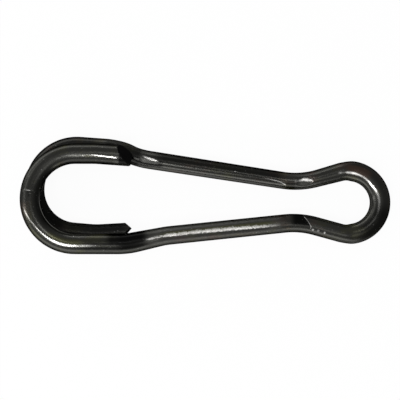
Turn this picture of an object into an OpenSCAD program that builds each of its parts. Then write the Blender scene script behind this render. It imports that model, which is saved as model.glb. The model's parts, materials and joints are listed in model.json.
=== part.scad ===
// Fishing snap: one length of spring wire, bent into a round eye for the line, a narrow
// waist, two legs and two open hooks that lie one over the other and shut each other.
// Lying flat: the eye points along +X, the top hook comes from the leg on the -Y side.
// Distances from the eye run from its centre along the snap, towards the hooks.

/* [Wire] */
// Diameter of the wire
wire_d = 1; // [0.8:0.05:1.2]
// Extra width of the wire where eye and hooks were pressed flat, as a share of its diameter
press = 0.1; // [0:0.02:0.16]
// Width that the under hook's half lost where its waist was drawn in, as a share of the diameter
waist_draw = 0.07; // [0:0.01:0.1]

/* [Eye and waist] */
// Clear width inside the eye
eye_inner_d = 2.3; // [2:0.1:3]
// Distance from the back of the eye's round to the corner of the waist bend
waist_back = 0.9; // [0.7:0.1:1.5]
// Gap between the two wires at the waist, from corner to corner of the bends
waist_gap = 1.1; // [0.8:0.1:1.6]
// Radius of the waist bends, on the centre line
waist_bend_r = 4.5; // [2:0.5:4.5]

/* [Legs] */
// Gap between the two legs where they step apart to the hooks
leg_gap = 3.15; // [2.8:0.05:3.5]
// How far a leg has left the eye's plane where its step begins
leg_rise = 0.42; // [0.3:0.02:0.46]
// Distance from the eye at which the top hook's leg steps up
top_step_from = 9.8; // [8.5:0.1:10.5]
// Length of the top hook's step
top_step = 2.1; // [1.6:0.1:2.4]
// Distance from the eye at which the under hook's leg steps down
under_step_from = 11.3; // [10.5:0.1:11.6]
// Length of the under hook's step
under_step = 1.4; // [1.2:0.1:1.6]
// Radius of the bends at both ends of a step, on the centre line
step_bend_r = 4.5; // [1.5:0.5:5]
// Angle by which legs and hooks were bent out of line with the eye
head_skew = 1.6; // [0:0.2:3]

/* [Both hooks] */
// Distance from the eye to the centre line of the hooks' back
hook_reach = 17.15; // [16.2:0.05:20]
// Distance from the eye to the tips of the wire
tip_at = 11.75; // [11.5:0.05:13]
// Distance from the tip to where the free run bows outward
free_bow_at = 1.95; // [1.5:0.05:2.2]
// Clearance between the two hooks, one over the other
hook_clearance = 0.12; // [0.08:0.02:0.3]

/* [Top hook] */
// Clear width inside the top hook
top_inner_w = 3.75; // [3.05:0.05:4.35]
// How far it sits towards its own leg's side
top_offset = 0.3; // [0:0.05:0.5]
// How much nearer to the axis its run beside the leg starts than it ends
top_taper = 0.15; // [0:0.05:0.3]
// How far its free run bows outward
top_bow = 0.1; // [0:0.05:0.3]

/* [Under hook] */
// Clear width inside the under hook
under_inner_w = 3.6; // [3.05:0.05:4.35]
// How far it sits towards its own leg's side
under_offset = 0.4; // [0:0.05:0.5]
// How much nearer to the axis its run beside the leg starts than it ends
under_taper = 0.2; // [0:0.05:0.3]
// How far its free run bows outward
under_bow = 0.2; // [0:0.05:0.3]

/* [Cut ends] */
// Lean of the two faces that the cutter left on each end
cut_lean = 45; // [0:5:50]
// Distance of the ridge between those faces from the wire's centre
cut_ridge = 0.25; // [0:0.05:0.35]
// Turn of the cutter about the top hook's wire
top_cut_turn = 45; // [0:5:90]
// Turn of the cutter about the under hook's wire
under_cut_turn = 5; // [0:5:90]

/* [Hidden] */

sides = 24;
bend_step = 7.5;
settle_rounds = 5;

wide = wire_d * (1 + press);
thin = wire_d / (1 + press);
eye_r = (eye_inner_d + wide) / 2;
waist_x = eye_r + waist_back;
waist_y = (waist_gap + wire_d) / 2;
waist_span = norm([waist_x, waist_y]);
eye_lean = 90 - atan(waist_y / waist_x) - acos(eye_r / waist_span);
leg_y = (leg_gap + wire_d) / 2;
hook_z = (thin + hook_clearance) / 2;

function unit(v) = v / norm(v);

// The corners of one half on its own side, each with its bend radius and how far it is
// pressed: 1 is the full width of eye and hooks, 0 the round wire, -1 the drawn waist
function eye_corners(waist_press) = [
  [[eye_r, 0, 0], 0, 1],
  [[eye_r, eye_r, 0], eye_r, 1],
  [[-eye_r * tan(eye_lean / 2), eye_r, 0], eye_r, 0],
  [[-waist_x, waist_y, 0], waist_bend_r, waist_press]
];
function step_corners(step_from, step, run_y) = [
  [[-step_from, leg_y, leg_rise], step_bend_r, 0],
  [[-step_from - step, run_y, hook_z], step_bend_r, 1]
];
function hook_corners(inner_w, offset, bow) =
  let (r = (inner_w + wide) / 2)
  [
    [[-hook_reach, offset + r, hook_z], r, 1],
    [[-hook_reach, offset - r, hook_z], r, 1],
    [[-tip_at - free_bow_at, offset - r - bow, hook_z], 2 * r, 1],
    [[-tip_at, offset - r, hook_z], 0, 1]
  ];

// Legs and hooks turn about the eye by the skew
function skewed(p) = [
  p.x * cos(head_skew) + p.y * sin(head_skew),
  p.y * cos(head_skew) - p.x * sin(head_skew),
  p.z
];

// side is [1, -1] for the half with the under hook and [-1, 1] for the half with the top hook
function placed(p, side) = [p.x, p.y * side.x, p.z * side.y];
function half_corners(side, eye, leg_and_hook) = concat(
  [for (c = eye) [placed(c[0], side), c[1], c[2]]],
  [for (c = leg_and_hook) [skewed(placed(c[0], side)), c[1], c[2]]]
);
top_corners = half_corners([-1, 1], eye_corners(0), concat(
  step_corners(top_step_from, top_step, top_offset + (top_inner_w + wide) / 2 - top_taper),
  hook_corners(top_inner_w, top_offset, top_bow)
));
under_corners = half_corners([1, -1], eye_corners(-1), concat(
  step_corners(under_step_from, under_step, under_offset + (under_inner_w + wide) / 2 - under_taper),
  hook_corners(under_inner_w, under_offset, under_bow)
));

// A bend keeps its radius while both straights beside it have room for it
function heading(c, i) = unit(c[i + 1][0] - c[i][0]);
function turn(c, i) = acos(min(1, heading(c, i - 1) * heading(c, i)));
function wish(c, i) = i == 0 || i == len(c) - 1 ? 0 : c[i][1] * tan(turn(c, i) / 2);
function room(c, i, j) = norm(c[i][0] - c[j][0]) / (wish(c, i) + wish(c, j));
function fit(c, i) = min(1, room(c, i, i - 1), room(c, i, i + 1));

// Halfway between two bends the wire is pressed half as much as in the one, half as in the other
function pressed(c, i, t) =
  let (own = c[i][2], before = (c[i - 1][2] + own) / 2, after = (own + c[i + 1][2]) / 2)
  t < 0.5 ? before + (own - before) * 2 * t : own + (after - own) * (2 * t - 1);

// A station is a point of the centre line with its heading and its share of the press
function bend_stations(c, i) =
  let (
    into = heading(c, i - 1),
    out = heading(c, i),
    r = c[i][1] * fit(c, i),
    start = c[i][0] - into * wish(c, i) * fit(c, i),
    inward = unit(out - into * (out * into)),
    steps = ceil(turn(c, i) / bend_step)
  )
  [for (k = [0:steps]) let (a = turn(c, i) * k / steps) [
    start + r * sin(a) * into + r * (1 - cos(a)) * inward,
    cos(a) * into + sin(a) * inward,
    pressed(c, i, k / steps)
  ]];
function half_stations(c) = concat(
  [[c[0][0], heading(c, 0), c[0][2]]],
  [for (i = [1:len(c) - 2]) each bend_stations(c, i)],
  [[c[len(c) - 1][0], heading(c, len(c) - 2), c[len(c) - 1][2]]]
);

// Stations that fall together where one bend runs straight into the next are kept once
function apart(s) = [
  for (i = [0:len(s) - 1]) if (i == 0 || norm(s[i][0] - s[i - 1][0]) > wire_d / 100) s[i]
];
function reversed(s) = [for (i = [len(s) - 1:-1:0]) [s[i][0], -s[i][1], s[i][2]]];

top_half = apart(half_stations(top_corners));
under_half = apart(half_stations(under_corners));
wire = concat(reversed(top_half), [for (i = [1:len(under_half) - 1]) under_half[i]]);
last = len(wire) - 1;

// The section: an ellipse as wide as the press made it and thinner by as much
function across(s) = unit(cross(s[1], [0, 0, 1]));
function upward(s) = cross(across(s), s[1]);
function spread(s) = 1 + s[2] * (s[2] > 0 ? press : waist_draw);
function section(s) = [
  for (k = [0:sides - 1]) let (a = 360 * k / sides)
    [cos(a) * wire_d / 2 * spread(s), sin(a) * wire_d / 2 / spread(s)]
];

// A cutter closing from both sides leaves two leaning faces that meet in a ridge
function cut_back(q, cut_turn) = tan(cut_lean) * abs(q * [cos(cut_turn), sin(cut_turn)] + cut_ridge);
function ring(s, end, cut_turn) = [
  for (q = section(s))
    s[0] + across(s) * q.x + upward(s) * q.y - s[1] * end * cut_back(q, cut_turn)
];
function ridge_point(s, cut_turn) =
  s[0] - (across(s) * cos(cut_turn) + upward(s) * sin(cut_turn)) * cut_ridge;

skin = concat(
  ring(wire[0], -1, top_cut_turn),
  [for (i = [1:last - 1]) each ring(wire[i], 0, 0)],
  ring(wire[last], 1, under_cut_turn),
  [ridge_point(wire[0], top_cut_turn), ridge_point(wire[last], under_cut_turn)]
);

// At rest the eye and the under hook touch the ground: tilt until both are as low
function tilted(p, a) = [p.x * cos(a) + p.z * sin(a), p.y, p.z * cos(a) - p.x * sin(a)];
function lowest(points, a) =
  let (t = [for (p = points) tilted(p, a)], z = min([for (p = t) p.z]))
  [for (p = t) if (p.z == z) p][0];
function settle(eye_side, hook_side, a, rounds) = rounds < 1 ? a :
  let (e = lowest(eye_side, a), h = lowest(hook_side, a))
  settle(eye_side, hook_side, a + atan((e.z - h.z) / (e.x - h.x)), rounds - 1);
rest_tilt = settle(
  [for (p = skin) if (p.x > -waist_x) p],
  [for (p = skin) if (p.x < -waist_x) p],
  0,
  settle_rounds
);
resting = [for (p = skin) tilted(p, rest_tilt)];
function low_end(axis) = min([for (p = resting) p[axis]]);
function high_end(axis) = max([for (p = resting) p[axis]]);
middle = [(low_end(0) + high_end(0)) / 2, (low_end(1) + high_end(1)) / 2, low_end(2)];

function corner(i, k) = i * sides + k % sides;
tube_faces = [
  for (i = [0:last - 1], k = [0:sides - 1]) each [
    [corner(i, k), corner(i + 1, k + 1), corner(i + 1, k)],
    [corner(i, k), corner(i, k + 1), corner(i + 1, k + 1)]
  ]
];
first_tip = (last + 1) * sides;
end_faces = [
  for (k = [0:sides - 1]) each [
    [first_tip, corner(0, k + 1), corner(0, k)],
    [first_tip + 1, corner(last, k), corner(last, k + 1)]
  ]
];

module snap_wire() {
  color("#3d3e3a")
    polyhedron(points = [for (p = resting) p - middle], faces = concat(tube_faces, end_faces));
}

snap_wire();
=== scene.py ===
import json
import math

import bpy
from mathutils import Euler, Matrix, Vector


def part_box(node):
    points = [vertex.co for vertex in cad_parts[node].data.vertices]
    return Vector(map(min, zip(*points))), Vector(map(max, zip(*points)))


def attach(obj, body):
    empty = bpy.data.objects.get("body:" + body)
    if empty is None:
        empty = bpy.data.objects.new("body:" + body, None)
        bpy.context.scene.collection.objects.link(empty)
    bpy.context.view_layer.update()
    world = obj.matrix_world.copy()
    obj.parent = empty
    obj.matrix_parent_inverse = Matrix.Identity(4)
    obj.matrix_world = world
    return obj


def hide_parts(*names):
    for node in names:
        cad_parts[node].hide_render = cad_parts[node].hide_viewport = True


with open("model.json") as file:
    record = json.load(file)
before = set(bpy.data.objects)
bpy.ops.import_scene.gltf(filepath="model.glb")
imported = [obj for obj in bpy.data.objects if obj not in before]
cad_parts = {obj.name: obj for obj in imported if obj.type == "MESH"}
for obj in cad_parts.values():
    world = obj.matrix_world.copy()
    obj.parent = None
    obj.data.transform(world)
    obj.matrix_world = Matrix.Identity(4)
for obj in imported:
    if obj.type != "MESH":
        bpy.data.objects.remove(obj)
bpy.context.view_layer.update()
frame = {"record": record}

# Lengths in this script are millimetres until a mesh, lamp or camera is placed
MM = 0.001

# The wire, with the same driving sizes as the solid
WIRE_D = 1.0
PRESS = 0.1
WAIST_DRAW = 0.07
EYE_INNER_D = 2.3
WAIST_BACK = 0.9
WAIST_GAP = 1.1
WAIST_BEND_R = 4.5
LEG_GAP = 3.15
LEG_RISE = 0.42
TOP_STEP_FROM = 9.8
TOP_STEP = 2.1
UNDER_STEP_FROM = 11.3
UNDER_STEP = 1.4
STEP_BEND_R = 4.5
HEAD_SKEW = math.radians(1.6)
HOOK_REACH = 17.15
TIP_AT = 11.75
FREE_BOW_AT = 1.95
HOOK_CLEARANCE = 0.12
TOP_INNER_W = 3.75
TOP_OFFSET = 0.3
TOP_TAPER = 0.15
TOP_BOW = 0.1
UNDER_INNER_W = 3.6
UNDER_OFFSET = 0.4
UNDER_TAPER = 0.2
UNDER_BOW = 0.2
CUT_LEAN = math.radians(45)
CUT_RIDGE = 0.25
TOP_CUT_TURN = math.radians(45)
UNDER_CUT_TURN = math.radians(5)
# How far the snap tips over when it lies on its eye and its under hook
REST_TILT = math.radians(2.149)

WIDE = WIRE_D * (1 + PRESS)
THIN = WIRE_D / (1 + PRESS)
EYE_R = (EYE_INNER_D + WIDE) / 2
HOOK_Z = (THIN + HOOK_CLEARANCE) / 2

# How finely the wire is swept: the distance between its rings, the points round each ring and
# in each bend, and the rounds that ease the press from bend to bend
RING_STEP = 0.05
RING_SIDES = 48
BEND_POINTS = 32
PRESS_EASING = 12
# The length at each tip that closes into a cut face, and how near points are to be one
CAP_LENGTH = 0.4
WELD = 0.002
# Edges sharper than this stay sharp in the shading
SHARP_ANGLE = math.radians(30)

# Flats that the bending tools pressed into the wire. Start and end are measured along the wire
# from the top hook's tip, and the ease is the length over which a flat comes or goes. A facing
# turns from outward (0) over upward (90) to inward (180). The slant moves a flat's ends along
# the wire with the way outward.
FLATS = {
    "lower leg": dict(start=14.9, end=22.5, ease=0.5, facing=73, depth=0.007, slant=0),
    "lower waist": dict(
        start=22.4, end=23.78, ease_in=0.6, ease=0.12, facing=122, depth=0.055, slant=0.9
    ),
    "eye": dict(start=29.2, end=31.6, ease=0.4, facing=111, depth=0.01, slant=0),
    "upper waist": dict(start=33.3, end=34.1, ease=0.25, facing=97, depth=0.03, slant=-0.4),
    "upper step": dict(start=41.6, end=42.8, ease=0.25, facing=103, depth=0.018, slant=0),
}
# Where less than this share of a flat's depth is left, nothing is pressed in
NO_PRESS = 0.001
# A nick across the back of the top hook
NICK = dict(along=6.86, half_width=0.06, depth=0.045, facing=82, reach=0.42)

# The photograph's view: its frame is 400 pixels wide, the eye's centre lies at EYE_PIXEL
FRAME_PIXELS = 400
MM_PER_PIXEL = 0.054
EYE_PIXEL = (348.35, 202.4)
CAMERA_DISTANCE = 45
CAMERA_TURN = Euler([math.radians(a) for a in (-0.48, -3.23, -0.04)], "XYZ")
CAMERA_CLIP = 1
SENSOR_MM = 36


class Link:
    """An output socket. Arithmetic on it adds the Math or Vector Math node that works it out."""

    def __init__(self, tree, socket):
        self.tree = tree
        self.socket = socket

    def out(self, name):
        """Another output of the same node."""
        return Link(self.tree, self.socket.node.outputs[name])

    def is_vector(self):
        return self.socket.type == "VECTOR"

    def _pair(self, operation, first, second):
        vectors = [isinstance(v, Link) and v.is_vector() for v in (first, second)]
        if not any(vectors):
            return self.tree.math(operation, first, second)
        if operation == "MULTIPLY" and not all(vectors):
            vector, factor = (first, second) if vectors[0] else (second, first)
            if not isinstance(factor, tuple):
                return self.tree.node(
                    "ShaderNodeVectorMath", {"operation": "SCALE"}, {0: vector, "Scale": factor}
                )
        return self.tree.vector(operation, first, second)

    def __add__(self, other):
        return self._pair("ADD", self, other)

    def __radd__(self, other):
        return self._pair("ADD", other, self)

    def __sub__(self, other):
        return self._pair("SUBTRACT", self, other)

    def __rsub__(self, other):
        return self._pair("SUBTRACT", other, self)

    def __mul__(self, other):
        return self._pair("MULTIPLY", self, other)

    def __rmul__(self, other):
        return self._pair("MULTIPLY", other, self)

    def __truediv__(self, other):
        return self._pair("DIVIDE", self, other)

    def __rtruediv__(self, other):
        return self._pair("DIVIDE", other, self)

    def __lt__(self, other):
        return self.tree.math("LESS_THAN", self, other)

    def __gt__(self, other):
        return self.tree.math("GREATER_THAN", self, other)

    def __abs__(self):
        return self.tree.math("ABSOLUTE", self)


class Tree:
    """A node tree that is built by calls: each call adds one node and gives its first output."""

    def __init__(self, node_tree):
        self.tree = node_tree

    def node(self, kind, settings=None, inputs=None, output=0):
        made = self.tree.nodes.new(kind)
        for name, value in (settings or {}).items():
            if name == "stops":
                self._stops(made.color_ramp, value)
            else:
                setattr(made, name, value)
        for key, value in (inputs or {}).items():
            if isinstance(value, Link):
                self.tree.links.new(value.socket, made.inputs[key])
            else:
                made.inputs[key].default_value = value
        return Link(self, made.outputs[output]) if made.outputs else made

    @staticmethod
    def _stops(ramp, stops):
        while len(ramp.elements) < len(stops):
            ramp.elements.new(1)
        for element, (place, colour) in zip(ramp.elements, stops):
            element.position = place
            element.color = (*colour, 1)

    def math(self, operation, *values):
        return self.node("ShaderNodeMath", {"operation": operation}, dict(enumerate(values)))

    def vector(self, operation, *values, output=0):
        inputs = dict(enumerate(values))
        return self.node("ShaderNodeVectorMath", {"operation": operation}, inputs, output)

    def dot(self, a, b):
        return self.vector("DOT_PRODUCT", a, b, output="Value")

    def xyz(self, x, y, z):
        return self.node("ShaderNodeCombineXYZ", None, {"X": x, "Y": y, "Z": z})

    def colour(self, factor, first, second):
        settings = {"data_type": "RGBA"}
        inputs = {"Factor": factor, 6: first, 7: second}
        return self.node("ShaderNodeMix", settings, inputs, output=2)

    def clamp(self, value, low=0, high=1):
        return self.math("MINIMUM", self.math("MAXIMUM", value, low), high)

    def smooth(self, value, low, high):
        """From 0 at low to 1 at high with soft shoulders. With high below low it falls instead."""
        settings = {"interpolation_type": "SMOOTHSTEP"}
        inputs = {"Value": value, "From Min": low, "From Max": high}
        return self.node("ShaderNodeMapRange", settings, inputs)

    def between(self, value, low, high, ease):
        """1 from low to high, coming and going over the ease inside them."""
        risen = self.smooth(value, low, low + ease)
        return risen * (1 - self.smooth(value, high - ease, high))


def scene_object(name, data):
    made = bpy.data.objects.new(name, data)
    bpy.context.scene.collection.objects.link(made)
    return made


# The wire's route


def skewed(x, y, z):
    """Legs and hooks are bent out of line with the eye."""
    return Vector((
        x * math.cos(HEAD_SKEW) + y * math.sin(HEAD_SKEW),
        y * math.cos(HEAD_SKEW) - x * math.sin(HEAD_SKEW),
        z,
    ))


def eye_corners(waist_press):
    """Corners from the eye to the waist on one side: place, bend radius, share of the press."""
    waist_x = EYE_R + WAIST_BACK
    waist_y = (WAIST_GAP + WIRE_D) / 2
    waist_span = math.hypot(waist_x, waist_y)
    lean = math.pi / 2 - math.atan(waist_y / waist_x) - math.acos(EYE_R / waist_span)
    return [
        ((EYE_R, EYE_R, 0), EYE_R, 1),
        ((-EYE_R * math.tan(lean / 2), EYE_R, 0), EYE_R, 0),
        ((-waist_x, waist_y, 0), WAIST_BEND_R, waist_press),
    ]


def hook_corners(step_from, step, inner_w, offset, taper, bow):
    """Corners of one leg, its step and its hook, up to the tip."""
    bend_r = (inner_w + WIDE) / 2
    return [
        ((-step_from, (LEG_GAP + WIRE_D) / 2, LEG_RISE), STEP_BEND_R, 0),
        ((-step_from - step, offset + bend_r - taper, HOOK_Z), STEP_BEND_R, 1),
        ((-HOOK_REACH, offset + bend_r, HOOK_Z), bend_r, 1),
        ((-HOOK_REACH, offset - bend_r, HOOK_Z), bend_r, 1),
        ((-TIP_AT - FREE_BOW_AT, offset - bend_r - bow, HOOK_Z), 2 * bend_r, 1),
        ((CAP_LENGTH - TIP_AT, offset - bend_r, HOOK_Z), 0, 1),
    ]


def half_corners(side, lift, eye, hook):
    """One half of the wire. Side and lift are 1 or -1 and turn its corners over where they must."""
    near = [(Vector((x, side * y, lift * z)), bend_r, press) for (x, y, z), bend_r, press in eye]
    far = [(skewed(x, side * y, lift * z), bend_r, press) for (x, y, z), bend_r, press in hook]
    return near + far


def route_object():
    """The corners of the whole wire as one line, from the top hook's tip to the under hook's."""
    top_hook = hook_corners(TOP_STEP_FROM, TOP_STEP, TOP_INNER_W, TOP_OFFSET, TOP_TAPER, TOP_BOW)
    under_hook = hook_corners(
        UNDER_STEP_FROM, UNDER_STEP, UNDER_INNER_W, UNDER_OFFSET, UNDER_TAPER, UNDER_BOW
    )
    top = half_corners(-1, 1, eye_corners(0), top_hook)
    under = half_corners(1, -1, eye_corners(-1), under_hook)
    corners = top[::-1] + under
    mesh = bpy.data.meshes.new("wire_route")
    edges = [(i, i + 1) for i in range(len(corners) - 1)]
    mesh.from_pydata([place * MM for place, _, _ in corners], edges, [])
    radius = mesh.attributes.new("bend_radius", "FLOAT", "POINT")
    radius.data.foreach_set("value", [bend_r * MM for _, bend_r, _ in corners])
    pressed = mesh.attributes.new("pressed", "FLOAT", "POINT")
    pressed.data.foreach_set("value", [press for _, _, press in corners])
    return scene_object("wire_route", mesh)


# The sweep


def stored(tree, geometry, name, value, kind="FLOAT"):
    settings = {"data_type": kind, "domain": "POINT"}
    inputs = {"Geometry": geometry, "Name": name, "Value": value}
    return tree.node("GeometryNodeStoreNamedAttribute", settings, inputs)


def named(tree, name, kind="FLOAT"):
    return tree.node("GeometryNodeInputNamedAttribute", {"data_type": kind}, {"Name": name})


def with_flat(tree, section_x, section_y, along, radius, flat):
    """Moves what stands past a flat's plane back onto it."""
    facing = math.radians(flat["facing"])
    way_x, way_y = math.cos(facing), math.sin(facing)
    shifted = along - section_x * flat["slant"]
    ease = flat["ease"] * MM
    ease_in = flat.get("ease_in", flat["ease"]) * MM
    begun = tree.smooth(shifted, flat["start"] * MM, flat["start"] * MM + ease_in)
    ended = tree.smooth(shifted, flat["end"] * MM - ease, flat["end"] * MM)
    share = begun * (1 - ended)
    plane = radius - share * flat["depth"] * MM
    past = tree.math("MAXIMUM", section_x * way_x + section_y * way_y - plane, 0.0)
    pressed_in = past * (share > NO_PRESS)
    return section_x - pressed_in * way_x, section_y - pressed_in * way_y


def with_nick(tree, section_x, section_y, along):
    """A short groove across the wire, deepest in its middle."""
    facing = math.radians(NICK["facing"])
    way_x, way_y = math.cos(facing), math.sin(facing)
    off = abs(along - NICK["along"] * MM) / (NICK["half_width"] * MM)
    sideways = abs(section_x * way_y - section_y * way_x) / (NICK["reach"] * MM)
    outside = section_x * way_x + section_y * way_y > 0
    profile = tree.clamp(1 - off) * tree.clamp(1 - sideways * sideways)
    groove = profile * outside * NICK["depth"] * MM
    return section_x - groove * way_x, section_y - groove * way_y


def sweep_tree():
    """Rounds the corners, sweeps the pressed section along them, pinches both tips to a ridge."""
    group = bpy.data.node_groups.new("wire_sweep", "GeometryNodeTree")
    group.interface.new_socket("Geometry", in_out="INPUT", socket_type="NodeSocketGeometry")
    for name in (
        "Wire Diameter", "Press", "Waist Draw", "Ring Step", "Cap Length", "Cut Lean",
        "Cut Ridge", "Top Cut Turn", "Under Cut Turn",
    ):
        group.interface.new_socket(name, in_out="INPUT", socket_type="NodeSocketFloat")
    group.interface.new_socket("Ring Sides", in_out="INPUT", socket_type="NodeSocketInt")
    group.interface.new_socket("Material", in_out="INPUT", socket_type="NodeSocketMaterial")
    group.interface.new_socket("Geometry", in_out="OUTPUT", socket_type="NodeSocketGeometry")
    tree = Tree(group)
    given = tree.node("NodeGroupInput")
    wire_r = given.out("Wire Diameter") * 0.5

    curve = tree.node("GeometryNodeMeshToCurve", None, {"Mesh": given.out("Geometry")})
    curve = tree.node(
        "GeometryNodeFilletCurve",
        {"mode": "POLY"},
        {
            "Curve": curve,
            "Count": BEND_POINTS,
            "Radius": named(tree, "bend_radius"),
            "Limit Radius": True,
        },
    )
    curve = tree.node(
        "GeometryNodeResampleCurve",
        {"mode": "LENGTH"},
        {"Curve": curve, "Length": given.out("Ring Step")},
    )
    curve = tree.node("GeometryNodeSetCurveNormal", {"mode": "Z_UP"}, {"Curve": curve})
    eased = tree.node(
        "GeometryNodeBlurAttribute",
        {"data_type": "FLOAT"},
        {0: named(tree, "pressed"), "Iterations": PRESS_EASING},
    )
    reach = tree.node("GeometryNodeSplineParameter").out("Length")
    total = tree.node("GeometryNodeSplineLength")
    curve = stored(tree, curve, "pressed", eased)
    curve = stored(tree, curve, "along", reach)
    curve = stored(tree, curve, "left", total - reach)
    curve = stored(tree, curve, "centre", tree.node("GeometryNodeInputPosition"), "FLOAT_VECTOR")
    curve = stored(tree, curve, "heading", tree.node("GeometryNodeInputTangent"), "FLOAT_VECTOR")
    ring = tree.node(
        "GeometryNodeCurvePrimitiveCircle",
        {"mode": "RADIUS"},
        {"Resolution": given.out("Ring Sides"), "Radius": wire_r},
    )
    tube = tree.node("GeometryNodeCurveToMesh", None, {"Curve": curve, "Profile Curve": ring})

    # The place in the section: x is outward in the plane of the bends, y is upward
    centre = named(tree, "centre", "FLOAT_VECTOR")
    heading = named(tree, "heading", "FLOAT_VECTOR")
    across = tree.vector("NORMALIZE", tree.vector("CROSS_PRODUCT", heading, (0.0, 0.0, 1.0)))
    upward = tree.vector("CROSS_PRODUCT", across, heading)
    spoke = tree.node("GeometryNodeInputPosition") - centre
    pressed = named(tree, "pressed")
    drawn = pressed < 0
    spread = 1 + pressed * (drawn * given.out("Waist Draw") + (1 - drawn) * given.out("Press"))
    along, left = named(tree, "along"), named(tree, "left")
    closing = tree.clamp(tree.math("MINIMUM", along, left) / given.out("Cap Length"))
    section_x = tree.dot(spoke, across) * spread * closing
    section_y = tree.dot(spoke, upward) / spread * closing
    for flat in FLATS.values():
        section_x, section_y = with_flat(tree, section_x, section_y, along, wire_r, flat)
    section_x, section_y = with_nick(tree, section_x, section_y, along)

    # Two leaning faces that meet in a ridge: what stands past them moves back onto them
    at_top = along < left
    turn = at_top * given.out("Top Cut Turn") + (1 - at_top) * given.out("Under Cut Turn")
    from_middle = section_x * tree.math("COSINE", turn) + section_y * tree.math("SINE", turn)
    depth = abs(from_middle + given.out("Cut Ridge")) * tree.math("TANGENT", given.out("Cut Lean"))
    inside = tree.math("MINIMUM", along, left) - given.out("Cap Length")
    back = tree.math("MAXIMUM", depth - inside, 0.0)
    tube = stored(tree, tube, "cut_face", back > 0)
    wire_place = tree.xyz(along, section_x, section_y) * (1 / MM)
    tube = stored(tree, tube, "wire_place", wire_place, "FLOAT_VECTOR")
    place = centre + across * section_x + upward * section_y + heading * (back * (at_top * 2 - 1))
    tube = tree.node("GeometryNodeSetPosition", None, {"Geometry": tube, "Position": place})
    tube = tree.node("GeometryNodeMergeByDistance", None, {"Geometry": tube, "Distance": WELD * MM})
    for name in ("centre", "heading", "along", "left", "bend_radius"):
        tube = tree.node("GeometryNodeRemoveAttribute", None, {"Geometry": tube, "Name": name})
    tube = tree.node("GeometryNodeRealizeInstances", None, {"Geometry": tube})
    tube = tree.node(
        "GeometryNodeSetMaterial", None, {"Geometry": tube, "Material": given.out("Material")}
    )
    tree.node("NodeGroupOutput", None, {"Geometry": tube})
    return group


def swept_wire(material):
    """The route, swept to a plain mesh, tipped as it rests and laid where the solid lies."""
    route = route_object()
    sweep = route.modifiers.new("sweep", "NODES")
    sweep.node_group = sweep_tree()
    sizes = {
        "Wire Diameter": WIRE_D * MM,
        "Press": PRESS,
        "Waist Draw": WAIST_DRAW,
        "Ring Step": RING_STEP * MM,
        "Ring Sides": RING_SIDES,
        "Cap Length": CAP_LENGTH * MM,
        "Cut Lean": CUT_LEAN,
        "Cut Ridge": CUT_RIDGE * MM,
        "Top Cut Turn": TOP_CUT_TURN,
        "Under Cut Turn": UNDER_CUT_TURN,
        "Material": material,
    }
    for socket in sweep.node_group.interface.items_tree:
        if socket.in_out == "INPUT" and socket.name in sizes:
            sweep[socket.identifier] = sizes[socket.name]
    bpy.context.view_layer.update()
    swept = route.evaluated_get(bpy.context.evaluated_depsgraph_get())
    mesh = bpy.data.meshes.new_from_object(swept)
    mesh.name = "snap_wire_body"
    bpy.data.objects.remove(route)

    mesh.transform(Matrix.Rotation(REST_TILT, 4, "Y"))
    low, high = mesh_box(mesh)
    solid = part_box("snap_wire")
    shift = (solid[0] + solid[1]) / 2 - (low + high) / 2
    mesh.transform(Matrix.Translation((shift.x, shift.y, solid[0].z - low.z)))
    mesh.polygons.foreach_set("use_smooth", [True] * len(mesh.polygons))
    mesh.set_sharp_from_angle(angle=SHARP_ANGLE)
    return scene_object("snap_wire_body", mesh)


def mesh_box(mesh):
    """The lowest and the highest corner of a mesh's box."""
    places = [v.co for v in mesh.vertices]
    low = Vector([min(p[i] for p in places) for i in range(3)])
    high = Vector([max(p[i] for p in places) for i in range(3)])
    return low, high


# Finishes


# Colours of the plating and its tints, the black of painted shade, the painted sheen beside the
# highlights tinted olive and brown, bare steel for rubbed wear and painted highlights, and the
# metal's rim
BLACK_NICKEL = (0.045, 0.045, 0.041, 1)
OLIVE_NICKEL = (0.052, 0.052, 0.038, 1)
BROWN_NICKEL = (0.056, 0.047, 0.042, 1)
SHADE_BLACK = (0.005, 0.005, 0.005, 1)
OLIVE_SHEEN = (0.075, 0.075, 0.035, 1)
BROWN_SHEEN = (0.08, 0.05, 0.038, 1)
STEEL_WEAR_AND_SHEEN = (0.82, 0.81, 0.78, 1)
EDGE_TINT = (0.12, 0.12, 0.12, 1)

# Noise values between which a pattern begins and is full: the cloudy and the worn plating, its
# browner tint, the specks, the unbroken run of a painted highlight line and the gaps in the
# lower leg's
CLOUDY = (0.42, 0.6)
WORN = (0.5, 0.66)
BROWNISH = (0.45, 0.62)
SPECKLED = (0.7, 0.76)
UNBROKEN = (0.22, 0.45)
GAPPED = (0.5, 0.42)
NOISE_MIDDLE = 0.5
NOISE_ROUGHNESS = 0.6
# The noises' lattice is turned out of line with the wire, so that it draws no dotted rows on it
LATTICE_AXIS = (1.0, 2.0, 3.0)
LATTICE_TURN = 0.8

# The run of the lower leg that the tools left granular: from, to and ease
LEG_RUN = (14.6, 22.6, 0.6)
# How granular the cloudy plating and that run are
GRANULAR = dict(cloudy=0.12, leg=0.8)
# How much the drawn lines share in the wear
DRAWN_WEAR = 0.5
# Roughness of the plain plating, what is added to it, and how far the grain swings it
ROUGH = dict(plain=0.25, leg=0.05, granular=0.08, cut=0.35, lowest=0.12, highest=0.8)
GRAIN_ROUGH = dict(smooth=0.03, granular=0.15)
# Relief of the smooth plating's grain and of the drawn lines, and the relief's height
RELIEF = dict(smooth=0.1, lines=0.05, strength=0.6, height=0.02)
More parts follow.
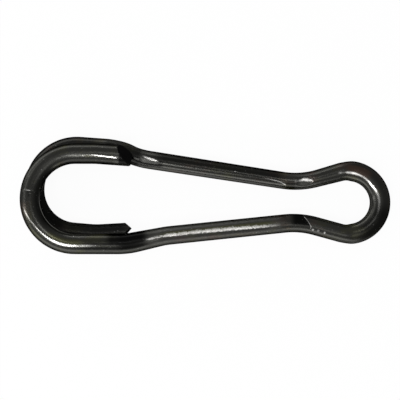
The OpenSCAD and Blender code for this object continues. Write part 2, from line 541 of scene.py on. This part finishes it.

# Painted highlights and painted reflections: bright lines laid where the lamps' highlights fall on
# the wire, partly also where it slid over the bending tools and its plating is rubbed bright. Each
# stop gives the place along the wire, the facing, how bright the line is there, and its half width
# in degrees round the wire.
WEAR_AND_HIGHLIGHT_LINES = {
    "front run": [
        (1.12, 112, 0, 6), (1.2, 112, 0.9, 7), (2, 105, 0.8, 6), (2.6, 100, 0.1, 7),
        (3.9, 95, 0.02, 10), (4.4, 94, 0, 10),
    ],
    "hook": [
        (7.5, 48, 0, 6), (7.97, 60, 0.3, 7), (8.57, 76, 0.45, 7), (9.2, 82, 0.55, 7),
        (10.1, 85, 0.6, 11), (10.9, 83, 0.4, 14), (11.5, 82, 0.15, 16), (12.3, 82, 0, 14),
    ],
    "lower leg": [
        (14.9, 90, 0, 8), (15.15, 90, 0.7, 9), (15.7, 91, 0.5, 9), (16.3, 90, 1, 15),
        (17, 91, 0.8, 16), (17.8, 91, 1, 17), (18.6, 90, 0.9, 18), (19.4, 88, 1, 16),
        (20.5, 85, 1, 15), (21.3, 84, 0.7, 13), (22.2, 83, 0, 10),
    ],
    "nick": [
        (6.76, 86, 0, 22), (6.8, 86, 0.22, 24), (6.84, 86, 0, 22),
    ],
    "hook, inner rim": [
        (6.6, 166, 0, 5), (7.6, 167, 0.16, 5), (9.4, 168, 0.22, 5), (11.4, 168, 0.12, 5),
        (12.6, 168, 0, 5),
    ],
    "glints": [
        (23.9, 64, 0, 9), (23.98, 64, 0.8, 9), (24.05, 64, 0, 9), (24.2, 66, 0, 9),
        (24.27, 66, 0.6, 9), (24.34, 66, 0, 9), (24.56, 65, 0, 9), (24.63, 65, 0.9, 9),
        (24.7, 65, 0, 9),
    ],
    "eye": [
        (28, 106, 0, 12), (28.4, 106, 0.12, 12), (29.1, 106, 0.3, 10), (29.4, 109, 0.8, 9),
        (29.7, 115, 0.9, 9), (30.3, 111, 0.6, 9), (30.6, 110, 0.7, 9), (31.1, 105, 1, 13),
        (31.4, 101, 1, 12), (31.55, 98, 0.1, 8), (31.7, 95, 0.1, 8), (31.8, 94, 0.5, 8),
        (31.95, 92, 0, 8),
    ],
    "upper waist": [
        (33.3, 98, 0, 6), (33.38, 94, 0.6, 8), (33.6, 88, 1, 15), (33.8, 83, 0.9, 12),
        (34.05, 89, 0.3, 9), (34.35, 93, 0, 8),
    ],
    "scratch": [
        (34.7, 117, 0, 5), (34.76, 115, 0.6, 5), (34.98, 105, 0.5, 5), (35.2, 101, 0.3, 5),
        (35.6, 97, 0.15, 5), (36, 94, 0, 5),
    ],
    "pit": [
        (37.44, 82, 0, 4), (37.49, 82, 0.6, 4), (37.54, 82, 0, 4),
    ],
    "upper step": [
        (41.65, 92, 0, 6), (41.9, 88, 0.6, 8), (42.2, 84, 1, 9), (42.42, 79, 0.9, 8),
        (42.55, 76, 0.2, 7), (42.65, 74, 0, 8),
    ],
}
# A line's ramp holds the facing and the half width as shares of these
FULL_FACING = 180
WIDEST_LINE = 30
# The share of its half width over which a line is fully bright
LINE_CORE = 0.1
# How much sharper a line ends on its inner and on its outer side, where the two differ
LINE_EDGES = {"lower leg": (0.8, 2), "hook": (1.4, 0.9)}
# How far the grain makes the lower leg's line waver, the share of that on the line's outer
# side, how deep its gaps are, and how bright the specks
LINE_WAVER = 60
OUTER_WAVER = 0.3
GAP_DEPTH = 0.5
SPECK_SHINE = 0.2

# Painted shade, painted reflections and painted sheen: from, to and ease along the wire, the
# facings between which they lie, the ease across, the depth of the change and its colour. The black
# ones are painted shade and shadow, the light ones painted reflection, the olive and brown ones
# tint with painted sheen.
PATCHES = {
    "upper leg": (34.6, 42.2, 0.8, -40, 128, 40, 0.66, "black"),
    "upper leg, inner side": (34.4, 43.3, 0.8, 112, 215, 30, 0.08, "wear_and_sheen"),
    "lower leg": (15, 22.4, 0.6, 20, 160, 30, 0.02, "wear_and_sheen"),
    "eye, outer side": (25.4, 32, 1.2, -60, 96, 30, 0.4, "black"),
    "eye, lower right": (26.2, 28.8, 0.8, 20, 138, 25, 0.7, "black"),
    "under hook, inner side": (49.2, 53.8, 1.2, 84, 215, 16, 0.93, "black"),
    "under hook, end": (52.6, 57.2, 1, 70, 215, 16, 0.7, "black"),
    "top hook, inner side": (4.2, 10.2, 1.6, 104, 230, 40, 0.8, "black"),
    "top hook, lower run": (10.9, 14.9, 1, 30, 130, 30, 0.6, "black"),
    "lower step": (12.6, 15.2, 0.5, 72, 230, 30, 0.85, "black"),
    "lower step, across": (13.2, 15.1, 0.5, 40, 230, 24, 0.75, "black"),
    "leg beside the tip": (42.65, 43.6, 0.2, 30, 160, 10, 0.65, "black"),
    "beside the scratch": (34.2, 34.74, 0.1, 84, 160, 20, 0.45, "black"),
    "pit in the upper leg": (37.38, 37.6, 0.06, 70, 94, 8, 0.9, "black"),
    "pit in the top hook": (6.99, 7.15, 0.06, 84, 101, 8, 0.7, "black"),
    "upper step, beside the line": (41.3, 43, 0.3, 86, 136, 12, 0.78, "black"),
    "waist, inner side": (32.6, 34.5, 0.5, 118, 215, 30, 0.06, "wear_and_sheen"),
    "eye, bottom edge": (24.6, 27.2, 0.6, -40, 42, 25, 0.07, "wear_and_sheen"),
    "behind the tip": (43.3, 44.9, 0.3, 20, 170, 20, 0.6, "black"),
    "behind the top hook": (44.6, 49.4, 0.8, -60, 110, 30, 0.5, "black"),
    "front run, inner side": (1, 4.8, 0.5, 122, 215, 20, 0.55, "black"),
    "front run, outer side": (1, 5.2, 0.5, -40, 48, 20, 0.35, "black"),
    "front tip": (0.1, 1.1, 0.12, 20, 165, 25, 0.95, "black"),
    "eye, top": (30, 31.6, 0.4, 40, 125, 25, 0.6, "brown"),
    "hook, back": (5, 9.6, 1.2, 70, 130, 25, 0.35, "black"),
    "hook, olive": (9.2, 11.9, 0.8, 76, 132, 20, 0.6, "olive"),
    "lower leg, olive": (15.4, 22.2, 1, 86, 122, 14, 0.75, "olive"),
    "lower leg, below the line": (15.2, 21.8, 0.6, 58, 90, 12, 0.4, "black"),
}
PATCH_COLOURS = {
    "black": SHADE_BLACK,
    "wear_and_sheen": STEEL_WEAR_AND_SHEEN,
    "olive": OLIVE_SHEEN,
    "brown": BROWN_SHEEN,
}
# Patches of painted shade that are also made dull, so that they mirror nothing, as the cut faces'
# painted shade is, and how dull that is
DULL_SHADE_PATCHES = ["under hook, inner side"]
SHADE_DULLING = 0.9
# Painted shade at the lower waist: a black patch that ends in a painted highlight, a light edge
# that runs aslant round the wire
WAIST_SHADE = dict(start=22.55, full=23.0, end=23.83, facings=(72, 200, 16), depth=0.95)
WAIST_GLINT = dict(slant_from=80, slant=0.0072, half_width=0.035, facings=(62, 140, 8), shine=0.5)


def node_material(name):
    material = bpy.data.materials.new(name)
    material.use_nodes = True
    material.node_tree.nodes.clear()
    return material, Tree(material.node_tree)


def wire_reading(tree):
    """A point's place (along, outward, upward), its way along the wire and its facing."""
    place = tree.node("ShaderNodeAttribute", {"attribute_name": "wire_place"}).out("Vector")
    along = tree.dot(place, (1.0, 0.0, 0.0))
    outward, upward = tree.dot(place, (0.0, 1.0, 0.0)), tree.dot(place, (0.0, 0.0, 1.0))
    facing = tree.math("ARCTAN2", upward, outward) * math.degrees(1)
    # Facings run from -90 to 270, so that the inner side is in one piece
    return place, along, facing + (facing < -90) * 360


def noise(place, scale, stretch=(1.0, 1.0, 1.0), detail=3.0, warp=0.0):
    tree = place.tree
    turned = {"Vector": place * stretch, "Axis": LATTICE_AXIS, "Angle": LATTICE_TURN}
    inputs = {
        "Vector": tree.node("ShaderNodeVectorRotate", None, turned),
        "Scale": scale,
        "Detail": detail,
        "Roughness": NOISE_ROUGHNESS,
        "Distortion": warp,
    }
    return tree.node("ShaderNodeTexNoise", None, inputs)


def wear_and_highlight_line(along, facing, waver, stops, inner, outer):
    """How bright one painted highlight line is here: a ramp over its run holds its facing, shine
    and half width.
    """
    tree = along.tree
    start, end = stops[0][0], stops[-1][0]
    share = (along - start) / (end - start)
    colours = [
        ((at - start) / (end - start), (turn / FULL_FACING, shine, half_width / WIDEST_LINE))
        for at, turn, shine, half_width in stops
    ]
    path = tree.node("ShaderNodeValToRGB", {"stops": colours}, {"Fac": share})
    parts = tree.node("ShaderNodeSeparateColor", None, {"Color": path})
    inward = facing - parts * FULL_FACING
    off_inner = (inward + waver) * inner
    off_outer = (inward + waver * OUTER_WAVER) * -outer
    off = tree.math("MAXIMUM", off_inner, off_outer) / (parts.out("Blue") * WIDEST_LINE)
    return (1 - tree.smooth(off, LINE_CORE, 1)) * parts.out("Green")


def patched(base, dull_shade, along, facing):
    """Lays the patches of painted shade, reflection and sheen on the base colour, and adds the dull
    ones to the dull shade.
    """
    tree = base.tree
    for name, (start, end, ease, low, high, blur, depth, colour) in PATCHES.items():
        covered = tree.between(along, start, end, ease) * tree.between(facing, low, high, blur)
        base = tree.colour(covered * depth, base, PATCH_COLOURS[colour])
        if name in DULL_SHADE_PATCHES:
            dull_shade = tree.math("MAXIMUM", dull_shade, covered)
    return base, dull_shade


def waist_shaded(base, along, facing):
    """Lays the lower waist's painted shade on the base colour, and gives the painted highlight at
    its end.
    """
    tree = base.tree
    turned = tree.math("MAXIMUM", facing - WAIST_GLINT["slant_from"], 0.0)
    past_end = along - (WAIST_SHADE["end"] - turned * WAIST_GLINT["slant"])
    begun = tree.smooth(along, WAIST_SHADE["start"], WAIST_SHADE["full"])
    covered = tree.between(facing, *WAIST_SHADE["facings"]) * begun * (past_end < 0)
    waist_glint_mask = 1 - tree.smooth(abs(past_end), 0.0, WAIST_GLINT["half_width"])
    base = tree.colour(covered * WAIST_SHADE["depth"], base, SHADE_BLACK)
    return base, waist_glint_mask * tree.between(facing, *WAIST_GLINT["facings"])


def plated_wire():
    """Black nickel on drawn spring wire: dark, half glossy, with a fine grain and bending marks,
    and with painted highlights, reflections and shade in its colour.
    """
    material, tree = node_material("dark_wire")
    place, along, facing = wire_reading(tree)
    cut = tree.node("ShaderNodeAttribute", {"attribute_name": "cut_face"}).out("Fac")
    cloud = noise(place, scale=0.9)
    drift = noise(place, scale=0.5, detail=1.0)
    grain = noise(place, scale=7.0, detail=4.0, warp=1.5)
    blotch = noise(place, scale=5.0, stretch=(0.5, 1.0, 1.0))
    specks = tree.smooth(noise(place, scale=9.0, detail=2.0), *SPECKLED)
    lines = noise(place, scale=12.0, stretch=(0.05, 1.0, 1.0))
    grain_swing, line_swing = grain - NOISE_MIDDLE, lines - NOISE_MIDDLE
    on_leg = tree.between(along, *LEG_RUN)
    granular = tree.smooth(cloud, *CLOUDY) * GRANULAR["cloudy"] + on_leg * GRANULAR["leg"]

    # Plating, with painted shade, painted reflections and painted sheen laid on it
    tinted = tree.colour(tree.smooth(drift, *BROWNISH), OLIVE_NICKEL, BROWN_NICKEL)
    worn = tree.smooth(cloud + line_swing * DRAWN_WEAR, *WORN)
    base = tree.colour(worn, BLACK_NICKEL, tinted)
    # The cut faces' painted shade is where the dull, unmirroring shade begins
    base, dull_shade = patched(base, cut, along, facing)
    base, waist_glint_mask = waist_shaded(base, along, facing)

    # Painted highlights and painted reflections, partly rubbed steel
    waver = on_leg * grain_swing * LINE_WAVER
    wear_and_sheen = waist_glint_mask * WAIST_GLINT["shine"]
    for name, stops in WEAR_AND_HIGHLIGHT_LINES.items():
        inner, outer = LINE_EDGES.get(name, (1, 1))
        wear_and_sheen = wear_and_sheen + wear_and_highlight_line(along, facing, waver, stops, inner, outer)
    gaps = on_leg * GAP_DEPTH * tree.smooth(grain, *GAPPED)
    wear_and_sheen = wear_and_sheen * tree.smooth(blotch, *UNBROKEN) * (1 - gaps) + specks * SPECK_SHINE
    base = tree.colour(tree.clamp(wear_and_sheen), base, STEEL_WEAR_AND_SHEEN)
    # The cut faces are painted black: painted shade
    base = tree.colour(cut, base, SHADE_BLACK)

    # Roughness and relief
    rough = ROUGH["plain"] + on_leg * ROUGH["leg"] + granular * ROUGH["granular"]
    rough = rough + grain_swing * (GRAIN_ROUGH["smooth"] + granular * GRAIN_ROUGH["granular"])
    rough = rough + cut * ROUGH["cut"]
    relief = grain_swing * (RELIEF["smooth"] + granular) + line_swing * RELIEF["lines"]
    bump = tree.node(
        "ShaderNodeBump",
        None,
        {"Strength": RELIEF["strength"], "Distance": RELIEF["height"] * MM, "Height": relief},
    )
    surface = tree.node(
        "ShaderNodeBsdfPrincipled",
        None,
        {
            "Base Color": base,
            "Metallic": 1 - dull_shade * SHADE_DULLING,
            "Specular IOR Level": 0.0,
            "Specular Tint": EDGE_TINT,
            "Roughness": tree.clamp(rough, ROUGH["lowest"], ROUGH["highest"]),
            "Normal": bump,
        },
    )
    tree.node("ShaderNodeOutputMaterial", None, {"Surface": surface})
    return material


# Studio


# The white sheet: half its side, its paper's colour and how much of it is seen as plain white
SHEET_HALF = 300
SHEET_PAPER = (0.9, 0.9, 0.9, 1)
SHEET_GLOW = 0.95
WHITE = (1, 1, 1, 1)
WORLD_STRENGTH = 0.45

# Lamps: azimuth (0 is the image's right, 90 its top), elevation from the floor, distance,
# width, height and radiance
SOFTBOXES = {
    "key": (230, 64, 160, 20, 44, 23),
    "left slit": (193, 32, 150, 14, 80, 8),
    "left strip": (125, 12, 150, 220, 48, 2.5),
    "low strip": (250, 17, 150, 280, 70, 2.4),
    "left fill": (160, 36, 200, 120, 60, 1.2),
    "right fill": (305, 67, 200, 60, 60, 1.5),
    "top fill": (85, 78, 160, 26, 26, 8),
}


def studio_floor():
    """A white sheet that camera and metal see as plain white, with the snap's shadow kept."""
    material, tree = node_material("white_sheet")
    by_camera = tree.node("ShaderNodeLightPath").out("Is Camera Ray")
    by_metal = by_camera.out("Is Glossy Ray")
    by_glass = by_camera.out("Is Transmission Ray")
    seen = tree.math("MAXIMUM", tree.math("MAXIMUM", by_camera, by_metal), by_glass)
    paper = tree.node("ShaderNodeBsdfDiffuse", None, {"Color": SHEET_PAPER})
    white = tree.node("ShaderNodeEmission", None, {"Color": WHITE, "Strength": 1.0})
    mixed = tree.node("ShaderNodeMixShader", None, {0: seen * SHEET_GLOW, 1: paper, 2: white})
    tree.node("ShaderNodeOutputMaterial", None, {"Surface": mixed})

    half = SHEET_HALF * MM
    mesh = bpy.data.meshes.new("floor")
    corners = [(-half, -half, 0), (half, -half, 0), (half, half, 0), (-half, half, 0)]
    mesh.from_pydata(corners, [], [(0, 1, 2, 3)])
    mesh.materials.append(material)
    floor = scene_object("floor", mesh)


def softbox(name, azimuth, elevation, distance, width, height, radiance):
    """A lamp aimed at the snap."""
    lamp = bpy.data.lights.new(name, "AREA")
    lamp.shape = "RECTANGLE"
    lamp.size = width * MM
    lamp.size_y = height * MM
    lamp.energy = radiance * math.pi * lamp.size * lamp.size_y
    box = scene_object(name, lamp)
    turn, rise = math.radians(azimuth), math.radians(elevation)
    toward = Vector((
        math.cos(turn) * math.cos(rise), math.sin(turn) * math.cos(rise), math.sin(rise)
    ))
    box.location = toward * distance * MM
    box.rotation_euler = toward.to_track_quat("Z", "Y").to_euler()


def camera(eye_centre):
    """Looks down on the snap as the photograph does, from close by."""
    data = bpy.data.cameras.new("camera")
    data.sensor_width = SENSOR_MM
    data.lens = SENSOR_MM * CAMERA_DISTANCE / (FRAME_PIXELS * MM_PER_PIXEL)
    data.clip_start = CAMERA_CLIP * MM
    view = scene_object("camera", data)
    middle = FRAME_PIXELS / 2
    from_eye = Vector((
        (middle - EYE_PIXEL[0]) * MM_PER_PIXEL,
        (EYE_PIXEL[1] - middle) * MM_PER_PIXEL,
        CAMERA_DISTANCE,
    )) * MM
    to_world = CAMERA_TURN.to_matrix().transposed()
    view.matrix_world = Matrix.Translation(eye_centre + to_world @ from_eye) @ to_world.to_4x4()
    bpy.context.scene.camera = view


def world_light():
    world = bpy.data.worlds.new("studio")
    world.use_nodes = True
    world.node_tree.nodes.clear()
    tree = Tree(world.node_tree)
    glow = tree.node("ShaderNodeBackground", None, {"Color": WHITE, "Strength": WORLD_STRENGTH})
    tree.node("ShaderNodeOutputWorld", None, {"Surface": glow})
    bpy.context.scene.world = world


wire = swept_wire(plated_wire())
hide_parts("snap_wire")
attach(wire, "root")
studio_floor()
world_light()
for name, setting in SOFTBOXES.items():
    softbox(name, *setting)

mounts = {mount["name"]: Vector(mount["pos_m"]) for mount in frame["record"]["mounts"]}
camera(mounts["line_eye"])
bpy.context.scene.view_settings.view_transform = "Standard"
